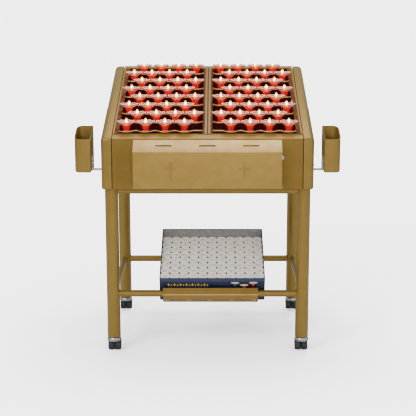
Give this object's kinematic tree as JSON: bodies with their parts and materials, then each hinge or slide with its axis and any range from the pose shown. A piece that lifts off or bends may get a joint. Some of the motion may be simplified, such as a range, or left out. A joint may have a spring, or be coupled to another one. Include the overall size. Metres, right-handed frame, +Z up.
{
  "type": "votive candle rack",
  "caption": "Wheeled votive candle rack with stepped lift-out trays of red glass cups, a coin box on the front, side pockets and a lower shelf with a carton of spare candles.",
  "frame": {"origin": "middle of the bounding box in plan, on the floor under the casters", "axes": "+X to the right as seen by someone standing at the coin box, +Y towards the high back edge, +Z up"},
  "size_m": [1.166, 0.748, 1.2604],
  "materials": {
    "gold_paint": "satin gold powder coat",
    "dark_steel": "dark brown paint in the shade",
    "tray_enamel": "glossy very dark red-brown with gold edges",
    "red_glass": "clear glass, red round the bowl",
    "zinc_plate": "bright zinc plate",
    "bright_steel": "plain bright steel",
    "caster_polymer": "black nylon",
    "navy_board": "printed carton board, plain grey inside",
    "candle_wax": "white candle wax"
  },
  "bodies": {
    "stand": {"leg_front_left": "gold_paint", "leg_front_right": "gold_paint", "leg_rear_left": "gold_paint", "leg_rear_right": "gold_paint", "upper_rail_front": "gold_paint", "upper_rail_rear": "gold_paint", "lower_rail_front": "gold_paint", "lower_rail_rear": "gold_paint", "lower_rail_left": "gold_paint", "lower_rail_right": "gold_paint", "cheek_left": "gold_paint", "cheek_right": "gold_paint", "front_panel": "gold_paint", "back_panel": "gold_paint", "bottom_pan": "dark_steel", "tray_bearer_left": "dark_steel", "tray_bearer_centre": "dark_steel", "tray_bearer_right": "dark_steel", "coin_box_tray": "dark_steel", "coin_box_tray_end_left": "dark_steel", "coin_box_tray_end_right": "dark_steel", "coin_box_hinge_rod": "zinc_plate", "side_pocket_left": "gold_paint", "side_pocket_right": "gold_paint", "pocket_bracket_left": "zinc_plate", "pocket_bracket_right": "zinc_plate", "candle_shelf": "gold_paint", "shelf_stay_left": "gold_paint", "shelf_stay_right": "gold_paint", "caster_front_left_socket": "caster_polymer", "caster_front_right_socket": "caster_polymer", "caster_rear_left_socket": "caster_polymer", "caster_rear_right_socket": "caster_polymer"},
    "tray_left": {"candle_tray_left": "tray_enamel", "votive_cups_left": "red_glass"},
    "tray_right": {"candle_tray_right": "tray_enamel", "votive_cups_right": "red_glass"},
    "coin_cover": {"coin_box_cover": "gold_paint"},
    "coin_lock": {"coin_box_lock": "bright_steel", "coin_box_lock_cam": "zinc_plate"},
    "carton": {"candle_carton": "navy_board", "spare_candles": "candle_wax"},
    "swivel_front_left": {"caster_front_left_fork": "zinc_plate", "caster_front_left_axle": "bright_steel"},
    "wheel_front_left_left": {"caster_front_left_wheel_left": "caster_polymer"},
    "wheel_front_left_right": {"caster_front_left_wheel_right": "caster_polymer"},
    "swivel_front_right": {"caster_front_right_fork": "zinc_plate", "caster_front_right_axle": "bright_steel"},
    "wheel_front_right_left": {"caster_front_right_wheel_left": "caster_polymer"},
    "wheel_front_right_right": {"caster_front_right_wheel_right": "caster_polymer"},
    "swivel_rear_left": {"caster_rear_left_fork": "zinc_plate", "caster_rear_left_axle": "bright_steel"},
    "wheel_rear_left_left": {"caster_rear_left_wheel_left": "caster_polymer"},
    "wheel_rear_left_right": {"caster_rear_left_wheel_right": "caster_polymer"},
    "swivel_rear_right": {"caster_rear_right_fork": "zinc_plate", "caster_rear_right_axle": "bright_steel"},
    "wheel_rear_right_left": {"caster_rear_right_wheel_left": "caster_polymer"},
    "wheel_rear_right_right": {"caster_rear_right_wheel_right": "caster_polymer"}
  },
  "joints": [
    {"name": "tray_left_lift", "type": "slide", "parent": "stand", "child": "tray_left", "axis": [0, 0, 1], "range_m": [0, 0.15]},
    {"name": "tray_right_lift", "type": "slide", "parent": "stand", "child": "tray_right", "axis": [0, 0, 1], "range_m": [0, 0.15]},
    {"name": "coin_cover_hinge", "type": "hinge", "parent": "stand", "child": "coin_cover", "pos_m": [0, -0.368, 0.782], "axis": [1, 0, 0], "range_deg": [0, 70]},
    {"name": "coin_lock_turn", "type": "hinge", "parent": "coin_cover", "child": "coin_lock", "pos_m": [0, -0.35, 0.91], "axis": [1, 0, 0], "range_deg": [0, 90]},
    {"name": "carton_lift", "type": "slide", "parent": "stand", "child": "carton", "axis": [0, -0.319, 0.9478], "range_m": [0, 0.12]},
    {"name": "swivel_front_left_turn", "type": "hinge", "parent": "stand", "child": "swivel_front_left", "pos_m": [-0.4273, -0.2695, 0.06], "axis": [0, 0, 1], "continuous": true},
    {"name": "wheel_front_left_left_roll", "type": "hinge", "parent": "swivel_front_left", "child": "wheel_front_left_left", "pos_m": [-0.4423, -0.2495, 0.025], "axis": [1, 0, 0], "continuous": true},
    {"name": "wheel_front_left_right_roll", "type": "hinge", "parent": "swivel_front_left", "child": "wheel_front_left_right", "pos_m": [-0.4123, -0.2495, 0.025], "axis": [1, 0, 0], "continuous": true},
    {"name": "swivel_front_right_turn", "type": "hinge", "parent": "stand", "child": "swivel_front_right", "pos_m": [0.4273, -0.2695, 0.06], "axis": [0, 0, 1], "continuous": true},
    {"name": "wheel_front_right_left_roll", "type": "hinge", "parent": "swivel_front_right", "child": "wheel_front_right_left", "pos_m": [0.4123, -0.2495, 0.025], "axis": [1, 0, 0], "continuous": true},
    {"name": "wheel_front_right_right_roll", "type": "hinge", "parent": "swivel_front_right", "child": "wheel_front_right_right", "pos_m": [0.4423, -0.2495, 0.025], "axis": [1, 0, 0], "continuous": true},
    {"name": "swivel_rear_left_turn", "type": "hinge", "parent": "stand", "child": "swivel_rear_left", "pos_m": [-0.4273, 0.3175, 0.06], "axis": [0, 0, 1], "continuous": true},
    {"name": "wheel_rear_left_left_roll", "type": "hinge", "parent": "swivel_rear_left", "child": "wheel_rear_left_left", "pos_m": [-0.4423, 0.3375, 0.025], "axis": [1, 0, 0], "continuous": true},
    {"name": "wheel_rear_left_right_roll", "type": "hinge", "parent": "swivel_rear_left", "child": "wheel_rear_left_right", "pos_m": [-0.4123, 0.3375, 0.025], "axis": [1, 0, 0], "continuous": true},
    {"name": "swivel_rear_right_turn", "type": "hinge", "parent": "stand", "child": "swivel_rear_right", "pos_m": [0.4273, 0.3175, 0.06], "axis": [0, 0, 1], "continuous": true},
    {"name": "wheel_rear_right_left_roll", "type": "hinge", "parent": "swivel_rear_right", "child": "wheel_rear_right_left", "pos_m": [0.4123, 0.3375, 0.025], "axis": [1, 0, 0], "continuous": true},
    {"name": "wheel_rear_right_right_roll", "type": "hinge", "parent": "swivel_rear_right", "child": "wheel_rear_right_right", "pos_m": [0.4423, 0.3375, 0.025], "axis": [1, 0, 0], "continuous": true}
  ]
}
